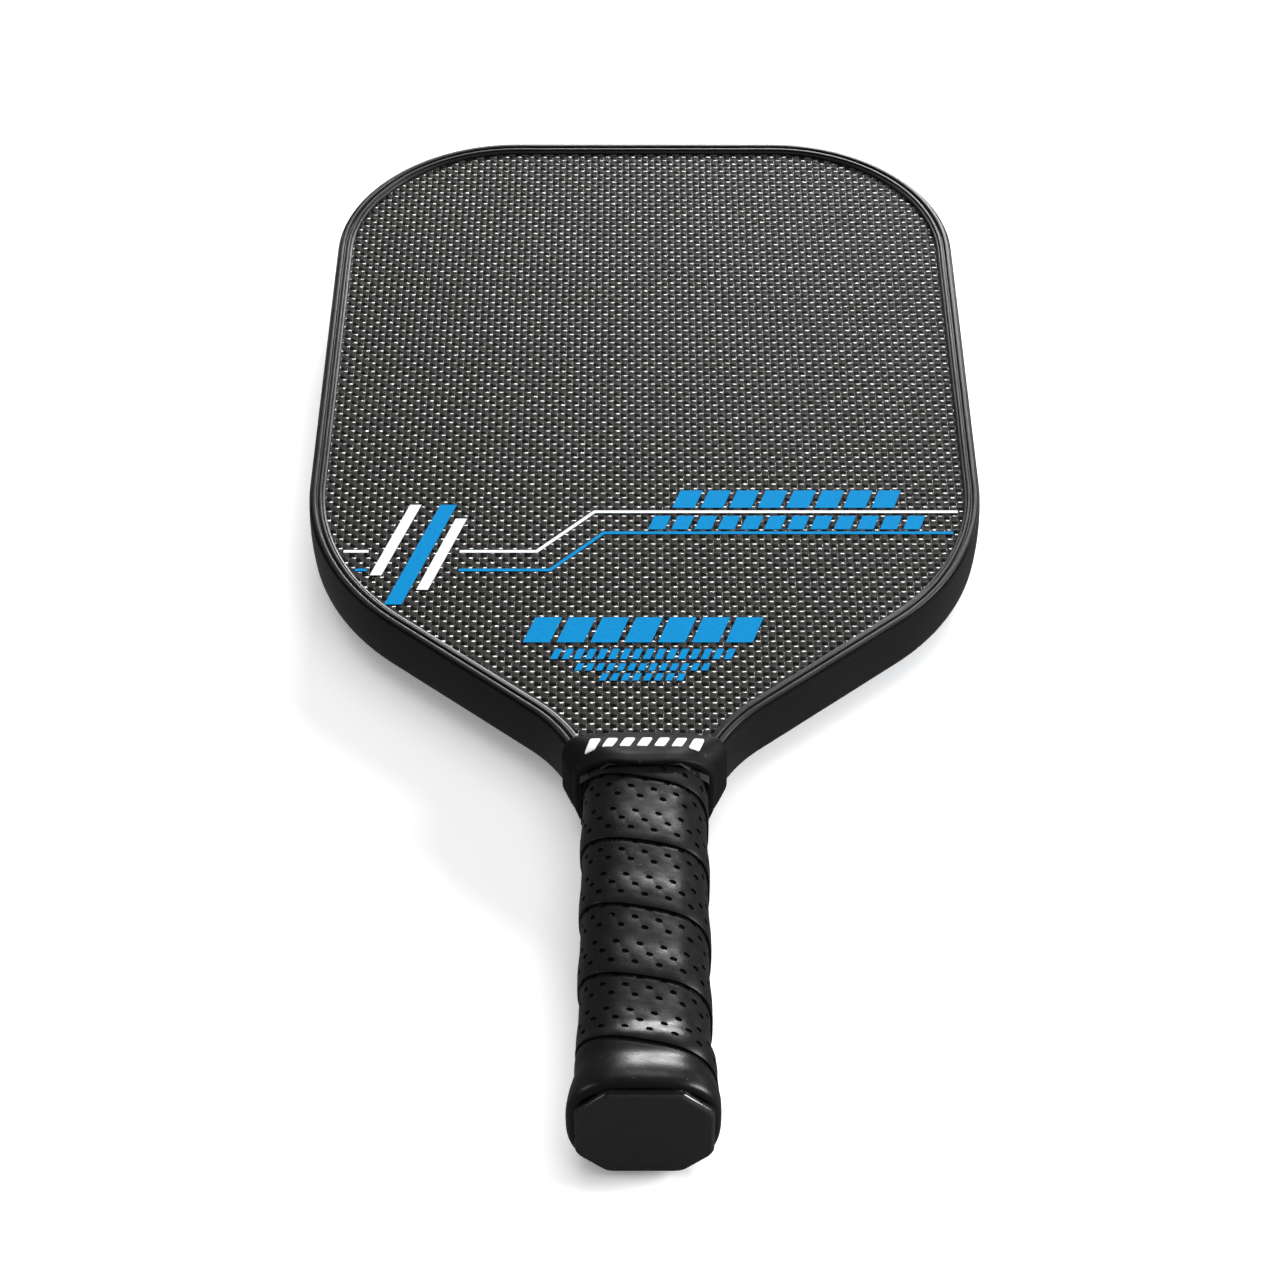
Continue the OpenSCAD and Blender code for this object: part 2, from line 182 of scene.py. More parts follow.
def new_tree(name, sizes):
    """A Geometry Nodes tree with named inputs. Returns it, its input node and its input names."""
    tree = bpy.data.node_groups.new(name, "GeometryNodeTree")
    tree.interface.new_socket("Geometry", in_out="OUTPUT", socket_type="NodeSocketGeometry")
    tree.interface.new_socket("Geometry", in_out="INPUT", socket_type="NodeSocketGeometry")
    ids = {}
    for title, kind in sizes.items():
        socket = tree.interface.new_socket(title, in_out="INPUT", socket_type="NodeSocket" + kind)
        ids[title] = socket.identifier
    return tree, tree.nodes.new("NodeGroupInput"), ids


def end_tree(tree, geometry, material):
    """Ends a tree in Realize Instances and Set Material."""
    whole = wire(tree, "GeometryNodeRealizeInstances", Geometry=geometry)
    done = wire(tree, "GeometryNodeSetMaterial", Geometry=whole.outputs[0], Material=material)
    wire(tree, "NodeGroupOutput", Geometry=done.outputs[0])


def grow(piece, tree, ids, values, crease=40):
    """Runs the tree on the piece and keeps the result as the piece's plain mesh."""
    modifier = piece.modifiers.new(tree.name, "NODES")
    modifier.node_group = tree
    for title, value in values.items():
        modifier[ids[title]] = value
    graph = bpy.context.evaluated_depsgraph_get()
    grown = bpy.data.meshes.new_from_object(piece.evaluated_get(graph))
    piece.modifiers.clear()
    piece.data = grown
    grown.name = piece.name
    if crease:
        grown.shade_smooth()
        grown.set_sharp_from_angle(angle=math.radians(crease))


def finish(name, colour, roughness, **sockets):
    """A new material with those shader settings. Returns it, its tree and its shader."""
    material = bpy.data.materials.new(name)
    material.use_nodes = True
    shader = material.node_tree.nodes["Principled BSDF"]
    shader.inputs["Base Color"].default_value = (*colour, 1)
    shader.inputs["Roughness"].default_value = roughness
    for title, value in sockets.items():
        shader.inputs[title.replace("_", " ")].default_value = value
    material.diffuse_color = (*colour, 1)
    return material, material.node_tree, shader


def grain(tree, per_metre, stretch=(1, 1, 1), detail=3.0):
    """Noise that lies still on the piece, with that many grains to the metre."""
    place = wire(tree, "ShaderNodeTexCoord").outputs["Object"]
    spread = wire(tree, "ShaderNodeMapping", Vector=place, Scale=stretch)
    return wire(tree, "ShaderNodeTexNoise", Vector=spread.outputs[0], Scale=per_metre,
                Detail=detail).outputs[0]


def polish(tree, shader, factor, low, high):
    """Roughness that goes from low to high with the factor."""
    rough = wire(tree, "ShaderNodeMapRange", Value=factor, From_Min=0.3, From_Max=0.7,
                 To_Min=low, To_Max=high)
    tree.links.new(rough.outputs[0], shader.inputs["Roughness"])


def tint(tree, shader, factor, *stops):
    """A colour that runs through the stops, which have the form (place, red, green, blue)."""
    ramp = wire(tree, "ShaderNodeValToRGB", Fac=factor)
    while len(ramp.color_ramp.elements) < len(stops):
        ramp.color_ramp.elements.new(0.5)
    for element, stop in zip(ramp.color_ramp.elements, stops):
        element.position = stop[0]
        element.color = (*stop[1:], 1)
    tree.links.new(ramp.outputs[0], shader.inputs["Base Color"])


def relief(tree, shader, height, depth, under=None):
    """Bumps of that depth in millimetres, laid over other bumps if there are any."""
    links = {"Normal": under} if under else {}
    bump = wire(tree, "ShaderNodeBump", Height=height, Distance=depth * MM, **links)
    tree.links.new(bump.outputs[0], shader.inputs["Normal"])
    return bump.outputs[0]


# The section from the middle of the wall up over the lip: (inset, height, corner radius)
half_section = [
    (wall_bulge, wall_top, 0.22), (0.62, 7.8, 0.08), (0.96, 7.8, 0.08),
    (1.0, guard_high.z, 0.42), (2.45, guard_high.z, 0.34), (2.55, 8.12, 0.14),
    (3.1, 8.12, 0.14), (3.18, 8.84, 0.3), (4.12, 8.8, 0.26), (4.18, 8.2, 0.08),
    (4.34, 8.2, 0.05), (4.4, 8.42, 0.15), (lip_width, 8.22, 0.28),
    (lip_width, lip_floor, 0.06), (wall_inside, lip_floor, 0)]
wall_curve = [(wall_bulge * t**2, wall_top * t, 0) for t in np.linspace(-1, 1, 13)[1:-1]]
other_half = [(x, -y, r) for x, y, r in reversed(half_section)]
section = rounded([*wall_curve, *half_section, *other_half])[::-1]

rim, facing = rim_line()
ring = [(i, (i + 1) % len(section)) for i in range(len(section))]
flat_section = np.column_stack([-section, np.zeros(len(section))])
section_line = mesh_piece("guard_section", flat_section, [], ring)
path = np.column_stack([rim, np.zeros(len(rim))])
edge_guard = mesh_piece("edge_guard_moulding", path, [], [(i, i + 1) for i in range(len(rim) - 1)])

moulded, tree, shader = finish("guard_moulded_black", (0.009, 0.009, 0.0092), 0.36,
                               Specular_IOR_Level=0.32)
flow = grain(tree, 90, (1, 1, 6))
skin = grain(tree, 5200, detail=1.0)
polish(tree, shader, flow, 0.3, 0.36)
tint(tree, shader, flow, (0.3, 0.0065, 0.0065, 0.0067), (0.7, 0.0085, 0.0085, 0.0088))
relief(tree, shader, skin, 0.012, relief(tree, shader, flow, 0.05))

tree, start, ids = new_tree("guard_sweep", {"Section": "Object"})
line = wire(tree, "GeometryNodeMeshToCurve", Mesh=start.outputs["Geometry"])
upright = wire(tree, "GeometryNodeSetCurveNormal", {"mode": "Z_UP"}, Curve=line.outputs[0])
shape = wire(tree, "GeometryNodeObjectInfo", Object=start.outputs["Section"])
shape_line = wire(tree, "GeometryNodeMeshToCurve", Mesh=shape.outputs["Geometry"])
swept = wire(tree, "GeometryNodeCurveToMesh", Curve=upright.outputs[0],
             Profile_Curve=shape_line.outputs[0], Fill_Caps=True)
end_tree(tree, swept.outputs[0], moulded)
grow(edge_guard, tree, ids, {"Section": section_line}, crease=48)
bpy.data.objects.remove(section_line)
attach(edge_guard, "root")
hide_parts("edge_guard")

# ---- Face laminate -----------------------------------------------------------------------
# Under the weave on each side lies a thin black layer of cured resin and fibre, cut to the
# blade's outline with the tongue that runs down inside the handle.
ply_t = 0.45
laminate_low = face_high - ply_t
laminate_t = 0.13
blade_inset = guard_high.x - blade_high.x
tongue_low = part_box("front_face_sheet")[0].y / MM


def slab(name, outline, low, high):
    """A flat closed slab of that outline, between two heights."""
    count = len(outline)
    points = [(x, y, z) for z in (low, high) for x, y in outline]
    faces = [list(range(count))[::-1], list(range(count, 2 * count))]
    faces += [(i, (i + 1) % count, (i + 1) % count + count, i + count) for i in range(count)]
    return mesh_piece(name, points, faces)


blade_line = [*(rim - facing * blade_inset), (-handle_half, guard_low.y),
              (-handle_half, tongue_low), (handle_half, tongue_low), (handle_half, guard_low.y)]

resin, tree, shader = finish("laminate_black_resin", (0.008, 0.008, 0.008), 0.5,
                             Specular_IOR_Level=0.1)
cloudy = grain(tree, 260)
tint(tree, shader, cloudy, (0.3, 0.005, 0.005, 0.005), (0.7, 0.012, 0.0117, 0.0115))
polish(tree, shader, cloudy, 0.42, 0.6)
relief(tree, shader, grain(tree, 1800), 0.02)

for side, sign in (("front", 1), ("back", -1)):
    low, high = sorted((sign * laminate_low, sign * (laminate_low + laminate_t)))
    laminate = slab(side + "_face_laminate", blade_line, low, high)
    laminate.data.materials.append(resin)
    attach(laminate, "root")
    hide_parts(side + "_face_sheet")

# ---- Weave -------------------------------------------------------------------------------
# The outer ply is a plain weave: silver weft tows cross the blade and black warp tows run along
# it. Beside each warp tow lies a thin pale strand, a painted highlight for the light caught on
# the tows' sloping edges. Each tow shows as a crowned float wherever it passes on top.
tow_pitch_x = 2.16
tow_pitch_y = 2.0
bedding = 0.02
weave_base = laminate_low + laminate_t - bedding
crown = face_high - weave_base
weave_inset = 3.7
weave_low = 125.2
# Where each pale strand of painted highlight sits, from its weft float's centre
tracer_x = 1.02
tracer_y = 1.55


def crowned_float(name, ends, across, bluntness, lean, crease):
    """A closed pillow from -1 to 1 each way, flat below: a tow where it passes on top."""
    along = len(ends) - 1
    sides = np.linspace(-1, 1, across + 1)
    points, faces = [], []
    for y in sides:
        for x in ends:
            height = (1 - y * y) * (1 - abs(x) ** bluntness)
            points.append((x * (1 - lean * (1 - y) / 2), y, height))
    row = along + 1
    for j in range(across):
        faces += [(j * row + i, j * row + i + 1, (j + 1) * row + i + 1, (j + 1) * row + i)
                  for i in range(along)]
    front = list(range(row))
    right = [j * row + along for j in range(1, across + 1)]
    rear = [across * row + i for i in range(along - 1, -1, -1)]
    left = [j * row for j in range(across - 1, 0, -1)]
    faces.append((front + right + rear + left)[::-1])
    return mesh_piece(name, np.array(points) / MM, faces, crease=crease)


def inset_of(places):
    """How far inside the guard's outside each place lies, negative outside it."""
    first, last, out = rim[:-1], rim[1:], (facing[:-1] + facing[1:]) / 2
    nearest = np.full(len(places), 1e9)
    inset = np.zeros(len(places))
    for a, b, n in zip(first, last, out):
        along = np.clip((places - a) @ (b - a) / ((b - a) @ (b - a)), 0, 1)
        gap = places - (a + along[:, None] * (b - a))
        distance = np.linalg.norm(gap, axis=1)
        closer = distance < nearest
        nearest[closer] = distance[closer]
        inset[closer] = (distance * np.sign(-(gap @ n)))[closer]
    return inset


side_columns = math.ceil(blade_high.x / tow_pitch_x)
columns = np.arange(-side_columns, side_columns + 1)
rows = np.arange(math.ceil((blade_high.y - weave_low) / tow_pitch_y))
grid_i, grid_j = [g.ravel() for g in np.meshgrid(columns, rows)]
cells = np.column_stack([grid_i * tow_pitch_x, weave_low + grid_j * tow_pitch_y])
inside = inset_of(cells) > weave_inset
weft_cells = cells[inside & ((grid_i + grid_j) % 2 == 0)]
warp_cells = cells[inside & ((grid_i + grid_j) % 2 == 1)]
tracer_cells = weft_cells + (tracer_x, tracer_y)
tracer_cells = tracer_cells[inset_of(tracer_cells) > weave_inset + 1]

tree, start, tow_ids = new_tree("tow_floats", {
    "Tow": "Object", "Finish": "Material", "Length": "Float", "Width": "Float",
    "Height": "Float", "Unevenness": "Float", "Seed": "Int"})
shape = wire(tree, "GeometryNodeObjectInfo", Object=start.outputs["Tow"])
least = wire(tree, "ShaderNodeMath", {"operation": "SUBTRACT"}, at0=1.0,
             at1=start.outputs["Unevenness"])
most = wire(tree, "ShaderNodeMath", {"operation": "ADD"}, at0=1.0,
            at1=start.outputs["Unevenness"])
varied = wire(tree, "FunctionNodeRandomValue", {"data_type": "FLOAT_VECTOR"},
              at0=least.outputs[0], at1=most.outputs[0], Seed=start.outputs["Seed"])
size = wire(tree, "ShaderNodeCombineXYZ", X=start.outputs["Length"], Y=start.outputs["Width"],
            Z=start.outputs["Height"])
scale = wire(tree, "ShaderNodeVectorMath", {"operation": "MULTIPLY"}, at0=size.outputs[0],
             at1=varied.outputs[0])
turn = wire(tree, "FunctionNodeRandomValue", {"data_type": "FLOAT_VECTOR"},
            at0=(-0.007, -0.006, -0.012), at1=(0.007, 0.006, 0.012), Seed=start.outputs["Seed"])
spots = wire(tree, "GeometryNodeMeshToPoints", Mesh=start.outputs["Geometry"])
laid = wire(tree, "GeometryNodeInstanceOnPoints", Points=spots.outputs[0],
            Instance=shape.outputs["Geometry"], Rotation=turn.outputs[0], Scale=scale.outputs[0])
end_tree(tree, laid.outputs[0], start.outputs["Finish"])
tow_tree = tree

silver, tree, shader = finish("silver_weft_tow", (0.045, 0.041, 0.037), 0.18,
                              Specular_IOR_Level=0.48)
filaments = grain(tree, 900, (0.12, 7, 1), detail=2.0)
patches = grain(tree, 55)
tint(tree, shader, filaments, (0.25, 0.023, 0.0205, 0.0185), (0.5, 0.038, 0.0345, 0.031),
     (0.75, 0.062, 0.057, 0.052))
polish(tree, shader, patches, 0.15, 0.2)
relief(tree, shader, filaments, 0.008)

black, tree, shader = finish("black_warp_tow", (0.012, 0.012, 0.012), 0.4,
                             Specular_IOR_Level=0.03)
filaments = grain(tree, 900, (7, 0.12, 1), detail=2.0)
cross = grain(tree, 1300, (0.2, 2.6, 1), detail=1.0)
tint(tree, shader, cross, (0.35, 0.0025, 0.0025, 0.0025), (0.7, 0.0095, 0.0092, 0.009))
polish(tree, shader, cross, 0.3, 0.45)
relief(tree, shader, cross, 0.03, relief(tree, shader, filaments, 0.02))

# A pale, partly metallic strand: painted highlight for the light on the tows' sloping edges.
clear, tree, shader = finish("tracer_filament", (0.42, 0.43, 0.42), 0.25, Metallic=0.3)
polish(tree, shader, grain(tree, 700), 0.18, 0.4)
tint(tree, shader, grain(tree, 320), (0.3, 0.13, 0.133, 0.13), (0.7, 0.3, 0.305, 0.3))

weft_float = crowned_float("weft_float", (-1, -0.8, 0, 0.8, 1), 3, 8.0, 0.1, 65)
warp_float = crowned_float("warp_float", (-1, 0, 1), 4, 2.6, 0.0, 75)
tracer_float = crowned_float("tracer_float", (-1, 1), 2, 0.0, 0.0, 75)
for vertex in tracer_float.data.vertices:
    vertex.co.z = 1.0 if abs(vertex.co.y) < 0.5 else 0.0
half_turn = ((-1, 0, 0, 0), (0, 1, 0, 0), (0, 0, -1, 0), (0, 0, 0, 1))
# Each ply: name, float, finish, cells, half length, half width, height, unevenness and seed
plies = [
    ("weft_tows", weft_float, silver, weft_cells, 1.21, 0.98, 1.0, 0.035, 3),
    ("warp_tows", warp_float, black, warp_cells, 1.02, 1.03, 0.92, 0.05, 7),
    ("tracers", tracer_float, clear, tracer_cells, 0.055, 0.86, 0.72, 0.1, 11)]
for side, sign in (("front", 1), ("back", -1)):
    for name, unit, material, places, half_x, half_y, height, uneven, seed in plies:
        spots = np.column_stack([places, np.full(len(places), weave_base)])
        ply = mesh_piece(side + "_" + name, spots, [])
        grow(ply, tow_tree, tow_ids, {
            "Tow": unit, "Finish": material, "Length": half_x * MM, "Width": half_y * MM,
            "Height": height * crown * MM, "Unevenness": uneven, "Seed": seed + sign}, crease=0)
        if sign < 0:
            ply.data.transform(half_turn)
        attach(ply, "root")
        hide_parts(side + "_face_sheet")
for unit in (weft_float, warp_float, tracer_float):
    bpy.data.objects.remove(unit)

# ---- Printed pattern ---------------------------------------------------------------------
# White and blue ink, screen-printed over the weave on both sides. The ink is opaque, and the
# tows show through only as low bumps.


def dress(node, material):
    """Gives a CAD node that material."""
    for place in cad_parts[node].material_slots:
        place.material = material


def ink_finish(name, colour, worn):
    """A printed ink, a little worn in random specks."""
    material, tree, shader = finish(name, colour, 0.6, Specular_IOR_Level=0.04)
    place = wire(tree, "ShaderNodeTexCoord").outputs["Object"]
    spread = wire(tree, "ShaderNodeMapping", Vector=place,
                  Scale=(math.pi / (tow_pitch_x * MM), math.pi / (tow_pitch_y * MM), 0))
    weave = wire(tree, "ShaderNodeTexChecker", Vector=spread.outputs[0], Scale=1 / math.pi)
    speckle = grain(tree, 1500)
    tint(tree, shader, speckle, (0.3, *worn), (0.55, *colour))
    polish(tree, shader, speckle, 0.55, 0.7)
    relief(tree, shader, speckle, 0.02, relief(tree, shader, weave.outputs["Fac"], 0.03))
    return material


white_ink = ink_finish("white_print_ink", (0.68, 0.72, 0.75), (0.55, 0.59, 0.62))
blue_ink = ink_finish("blue_print_ink", (0.0, 0.19, 0.44), (0.0, 0.165, 0.39))
for side in ("front", "back"):
    dress(side + "_white_print", white_ink)
    dress(side + "_blue_print", blue_ink)

# ---- Throat collar -----------------------------------------------------------------------
# A moulded rubber sleeve, stretched over the end of the wrap and the two ends of the guard.
# It is round and deep at its lower rim, and flat and wide where it meets the blade.
collar_low, collar_high = [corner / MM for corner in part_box("throat_collar")]
grip_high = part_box("grip_wrap")[1] / MM
wrap_half = 17.5
wrap_depth = 16.5
rubber_t = 1.6
collar_foot = collar_low.y - 0.1
rim_half = (wrap_half + rubber_t, wrap_depth + rubber_t, 13.2)
top_half = (collar_high.x, 11.2, 5.2)
slope_start = grip_high.y - 1.2
corner_steps = 10
flat_steps = 8
bow_at = 21
top_rise = 0.35
top_bow = 1.5
top_droop = 0.9
foot_rise = 4.6
foot_blend = 9.5
seat_gap = 0.05
lip_step = 0.4
wrap_gap = 0.28
wrap_lead_in = 0.5
seat_levels = (121.5, 119, 116.5, guard_low.y + 0.3)
# How far each ring lies from its edge of the collar, and how far it is pulled in
foot_edge = ((0.12, 0.3), (0.5, 0.04), (1.2, 0))
slope_dip = ((-1.2, 0), (-0.5, 0.04), (0.3, 0.12), (1.3, 0.12), (2.4, 0.03))
top_edge = ((1.2, 0.08), (0.5, 0.3), (0.1, 0.75))
throat_rim = rim[(rim[:, 0] > 0) & (rim[:, 1] < 200)]


def soft_box_ring(half_x, half_z, radius):
    """A rectangle with round corners across Y, as (x, z), from +X round over +Z."""
    ring = []
    for k, (sx, sz) in enumerate(((1, 1), (-1, 1), (-1, -1), (1, -1))):
        centre = np.array(((half_x - radius) * sx, (half_z - radius) * sz))
        turn = np.linspace(k, k + 1, corner_steps + 1) * math.pi / 2
        corner = centre + radius * np.stack([np.cos(turn), np.sin(turn)], 1)
        nx, nz = ((-1, 1), (-1, -1), (1, -1), (1, 1))[k]
        after = np.array(((half_x - radius) * nx, (half_z - radius) * nz))
        after = after + radius * np.array((math.cos(turn[-1]), math.sin(turn[-1])))
        share = np.arange(1, flat_steps)[:, None] / flat_steps
        ring += [*corner, *(corner[-1] + (after - corner[-1]) * share)]
    return np.array(ring)


def loft(name, rings, crease=40, closed=False):
    """Skins rings of equal count, each an array of points. Ends are filled unless closed."""
    count = len(rings[0])
    points = np.concatenate(rings)
    faces = []
    last = len(rings) if closed else len(rings) - 1
    for r in range(last):
        a, b = r * count, (r + 1) % len(rings) * count
        faces += [(a + i, b + i, b + (i + 1) % count, a + (i + 1) % count) for i in range(count)]
    if not closed:
        faces.append(list(range(count)))
        faces.append(list(range((len(rings) - 1) * count, len(rings) * count))[::-1])
    return mesh_piece(name, points, faces, crease=crease)


def collar_section(y):
    """Half width, half depth and corner radius of the collar's outside at that height."""
    share = min(1, max(0, (y - slope_start) / (collar_high.y - slope_start)))
    return [a + (b - a) * share for a, b in zip(rim_half, top_half)]


def collar_ring(y, shrink):
    """A ring of the collar's outside, pulled in by shrink, with its top edge bowed."""
    half_x, half_z, radius = collar_section(y)
    flat = soft_box_ring(half_x - shrink, half_z - shrink, max(0.6, radius - shrink))
    share = max(0, (y - slope_start) / (collar_high.y - slope_start)) ** 2
    low_share = max(0, 1 - (y - collar_foot) / foot_blend)
    out = (flat[:, 0] / bow_at) ** 2
    bow = top_rise - top_bow * out - top_droop * out**3
    height = y + share * bow + low_share * foot_rise * out
    ring = [(x * collar_section(h)[0] / half_x, h, z) for (x, z), h in zip(flat, height)]
    return np.array(ring)


def seated_ring(heights, outer):
    """A ring inside the outer one, seated on the guard and the face at those heights."""
    ring = []
    over = guard_high.z + seat_gap
    on_face = face_high + face_gap
    for (x, _, z), y in zip(outer, heights):
        side = np.interp(y, throat_rim[:, 1], throat_rim[:, 0]) + seat_gap
        lip = side - lip_width
        quarter = [(side, 0), (side, over), (lip, over), (lip - lip_step, on_face)]
        opening = [*quarter, *[(-a, b) for a, b in quarter[::-1]],
                   *[(-a, -b) for a, b in quarter[1:]], *[(a, -b) for a, b in quarter[:0:-1]]]
        reach = 1e9
        for (ax, az), (bx, bz) in zip(opening, opening[1:] + opening[:1]):
            ex, ez = bx - ax, bz - az
            cross = x * ez - z * ex
            if abs(cross) < 1e-9:
                continue
            far = (ax * ez - az * ex) / cross
            along = (ax * z - az * x) / cross
            if far > 0 and -1e-9 <= along <= 1 + 1e-9:
                reach = min(reach, far)
        ring.append((x * reach, y, z * reach))
    return np.array(ring)


def collar_sleeve():
    """Rings over the outside, over the top edge, down the inside and round the lower rim."""
    top = collar_high.y
    foot = collar_foot
    rings = [collar_ring(foot + up, pull) for up, pull in foot_edge]
    rings += [collar_ring(slope_start + up, pull) for up, pull in slope_dip]
    rings += [collar_ring(y, 0) for y in np.linspace(slope_start + 3.4, top - 2.2, 5)]
    rings += [collar_ring(top - down, pull) for down, pull in top_edge]
    rings.append(seated_ring(rings[-1][:, 1] - 0.15, rings[-1]))
    for y in seat_levels:
        rings.append(seated_ring(np.minimum(rings[-1][:, 1] - 0.1, y), rings[-1]))
    inside = soft_box_ring(wrap_half + wrap_gap, wrap_depth + wrap_gap, 12.6)
    mouth = soft_box_ring(wrap_half + wrap_lead_in, wrap_depth + wrap_lead_in, 12.8)
    for flat, y in ((inside, guard_low.y), (inside, foot + 0.4), (mouth, foot)):
        low_share = max(0, 1 - (y - foot) / foot_blend)
        height = y + low_share * foot_rise * (flat[:, 0] / bow_at) ** 2
        rings.append(np.column_stack([flat[:, 0], height, flat[:, 1]]))
    return rings


collar = loft("throat_collar_sleeve", collar_sleeve(), crease=50, closed=True)
rubber, tree, shader = finish("collar_black_rubber", (0.004, 0.004, 0.0042), 0.5,
                              Specular_IOR_Level=0.12)
dust = grain(tree, 650, detail=6.0)
tint(tree, shader, dust, (0.66, 0.004, 0.004, 0.0042), (0.74, 0.03, 0.03, 0.03))
polish(tree, shader, grain(tree, 120), 0.48, 0.62)
relief(tree, shader, grain(tree, 3800), 0.01)
collar.data.materials.append(rubber)
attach(collar, "root")
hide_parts("throat_collar")

# ---- Collar marks ------------------------------------------------------------------------
# Seven slanted bars stand up from the rubber on the collar's front, painted white.
mark_count = 7
mark_span = 28.5
mark_width = 2.9
mark_length = 5.4
mark_slant = 0.3
mark_height = 0.42
mark_seat = 0.25
mark_corner = 0.35
mark_y = 118.0
mark_bow = 0.7


def collar_top_at(x, y):
    """Height of the collar's front at that place."""
    half_x, half_z, radius = collar_section(y)
    over = max(0, abs(x) - (half_x - radius))
    return half_z - radius + math.sqrt(radius**2 - over**2)


def raised_mark(x0, y0):
    """Points and faces of one slanted bar with a soft top edge, seated in the rubber."""
    corners = [(u, v, mark_corner) for u, v in ((-1, -1), (1, -1), (1, 1), (-1, 1))]
    bar_line = rounded(corners, steps=4)
    points, faces = [], []
    levels = ((0, -mark_seat), (0, mark_height - 0.14), (0.07, mark_height - 0.03),
              (0.2, mark_height), (0.6, mark_height), (1.0, mark_height), (1.25, mark_height))
    for pull, height in levels:
        for u, v in bar_line:
            y = y0 + v * (mark_length / 2 - pull)
            x = x0 + u * (mark_width / 2 - pull) + (y - y0) * mark_slant
            points.append((x, y, collar_top_at(x, y) + height))
    count = len(bar_line)
    for k in range(len(levels) - 1):
        faces += [(k * count + i, k * count + (i + 1) % count,
                   (k + 1) * count + (i + 1) % count, (k + 1) * count + i) for i in range(count)]
    faces.append(list(range(count))[::-1])
    faces.append(list(range((len(levels) - 1) * count, len(levels) * count)))
    return points, faces


points, faces = [], []
for k in range(mark_count):
    x0 = (k / (mark_count - 1) - 0.5) * mark_span
    more_points, more_faces = raised_mark(x0, mark_y - mark_bow * (2 * x0 / mark_span) ** 2)
    faces += [[index + len(points) for index in face] for face in more_faces]
    points += more_points
marks = mesh_piece("collar_raised_marks", points, faces, crease=60)
mark_paint, tree, shader = finish("collar_mark_paint", (0.82, 0.83, 0.8), 0.5)
tint(tree, shader, grain(tree, 900), (0.3, 0.7, 0.71, 0.68), (0.6, 0.84, 0.85, 0.82))
relief(tree, shader, grain(tree, 2600), 0.02)
marks.data.materials.append(mark_paint)
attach(marks, "root")
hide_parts("collar_marks")

# ---- Grip --------------------------------------------------------------------------------
# A strip of cushioned synthetic leather, wound up the handle in a helix from the butt. Each
# turn laps over the one below it, and six rows of holes are punched through the strip. Its
# plain starting end is trimmed level with the butt cap.
squareness = 2.9
handle_steps = 1440
turn_drop = 22.3
first_seam = 104.6
hole_step = 6.2
cell = hole_step / 10
hole_rows = (1, 6, 11, 20, 25, 30)
half_step_rows = (6, 25)
hole_rx = 0.98
hole_ry = 0.7
hole_depth = 0.5
plain_from = 388.0
tuck_rows = 3
trim_low = 2.5
trim_curl = 3.1
trim_fall = 1.8
trim_high = grip_high.y - 0.3
strip_t = 1.15
seam_sway = 0.5
seam_end_rise = 1.6
tuck_depth = 0.84
cushion_wave = 0.05
butt_wrinkle = 0.07
hole_dimple = 0.06
# How far the wrap stands out at the butt, and between which heights it falls back
butt_flare = ((1.35, 7, 15), (0.95, 18.5, 24))
# Rises across the strip, and where they start and stop below its upper edge
strip_rises = ((0.26, -0.4, 1.0), (0.16, 1, 12), (0.5, 9, 18))
# Falls at the lap, and where they start and stop above the strip's lower edge
lap_falls = ((0.06, 1.9, 0.9), (0.13, 0.7, 0))


def handle_line():
    """The wrapped handle's rounded section, as points, facings and lengths from its top."""
    turn = math.pi / 2 - np.linspace(0, 2 * math.pi, handle_steps + 1)
    over_x, over_z = np.cos(turn), np.sin(turn)
    points = np.stack([wrap_half * np.sign(over_x) * abs(over_x) ** (2 / squareness),
                       wrap_depth * np.sign(over_z) * abs(over_z) ** (2 / squareness)], 1)
    half = np.array((wrap_half, wrap_depth))
    away = np.sign(points) * abs(points / half) ** (squareness - 1) / half
    away /= np.linalg.norm(away, axis=1)[:, None]
    lengths = np.concatenate([[0], np.cumsum(np.linalg.norm(np.diff(points, axis=0), axis=1))])
    return points, away, lengths


handle_points, handle_away, handle_lengths = handle_line()
around = handle_lengths[-1]


def smooth_step(start, stop, value):
    """0 below start, 1 above stop, and a soft rise between them."""
    share = np.clip((value - start) / (stop - start), 0, 1)
    return share * share * (3 - 2 * share)


def flare(y):
    """How far the wrap stands out over the butt cap."""
    return sum(out * (1 - smooth_step(start, stop, y)) for out, start, stop in butt_flare)


def seam(s):
    """Height of the strip's upper edge, at the length s round the handle."""
    return (first_seam - turn_drop / around * s - seam_sway * np.sin(s / 37)
            + seam_end_rise * smooth_step(395, 455, s))


slope = math.atan(turn_drop / around)
first = -math.ceil((around + (trim_high - first_seam) / math.tan(slope) + 3) / cell)
last = math.ceil((first_seam - trim_low + 4) / math.tan(slope) / cell)
strip_rows = round(turn_drop / cell)
i_grid, j_grid = np.meshgrid(np.arange(first, last + 1), np.arange(-tuck_rows, strip_rows + 1),
                             indexing="ij")
across = j_grid * cell * math.cos(slope)
width = strip_rows * cell * math.cos(slope)
du = np.zeros(i_grid.shape)
dv = np.zeros(i_grid.shape)
dimple = np.zeros(i_grid.shape)
punched = np.zeros(i_grid.shape, bool)
for row in hole_rows:
    shift = -round(row * math.sin(slope)) + (5 if row in half_step_rows else 0)
    a = (i_grid - shift + 5) % 10 - 5
    b = j_grid - row
    reach = np.maximum(abs(a), abs(b))
    holed = (reach <= 2) & ((i_grid - a) * cell < plain_from)
    length = np.hypot(a, b) + 1e-9
    du += np.where(holed, a / length * reach / 2 * hole_rx - a * cell, 0)
    dv += np.where(holed, b / length * reach / 2 * hole_ry - b * cell, 0)
    if row > hole_rows[0]:
        dimple += np.where(holed, hole_dimple, 0)
    punched |= holed & (reach <= 1)

